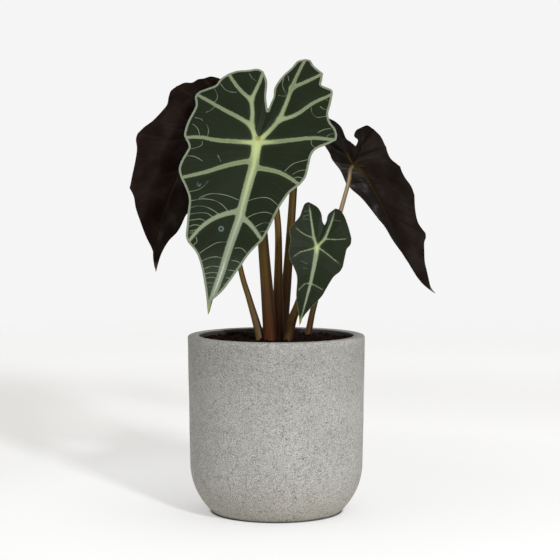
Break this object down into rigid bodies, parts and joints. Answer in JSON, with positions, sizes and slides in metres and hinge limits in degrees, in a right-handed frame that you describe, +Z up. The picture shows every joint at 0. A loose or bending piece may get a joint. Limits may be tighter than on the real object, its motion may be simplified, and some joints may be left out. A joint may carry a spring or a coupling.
{
  "type": "potted alocasia plant",
  "caption": "Arrow-leaved alocasia with pale-veined dark leaves on long stalks, growing in soil in a round-bottomed concrete pot.",
  "frame": {"origin": "centre of the pot's flat base", "axes": "+Z up the pot's axis, -Y towards the front, which the largest leaf faces"},
  "size_m": [0.3158, 0.2176, 0.4581],
  "materials": {
    "concrete": "matte",
    "potting_mix": "matte",
    "corm_skin": "matte",
    "bronze_stalk": "satin",
    "olive_stalk": "satin",
    "pale_stalk": "satin",
    "leaf_green": "satin",
    "leaf_maroon": "satin"
  },
  "bodies": {
    "root": {"pot": "concrete", "soil": "potting_mix", "corm": "corm_skin", "petiole_front": "bronze_stalk", "petiole_small": "bronze_stalk", "petiole_left": "olive_stalk", "petiole_right": "pale_stalk", "petiole_mid": "bronze_stalk", "petiole_back": "bronze_stalk", "blade_front": "leaf_green", "blade_small": "leaf_green", "blade_left": "leaf_maroon", "blade_right": "leaf_maroon", "blade_mid": "leaf_green", "blade_back": "leaf_green"}
  },
  "joints": []
}
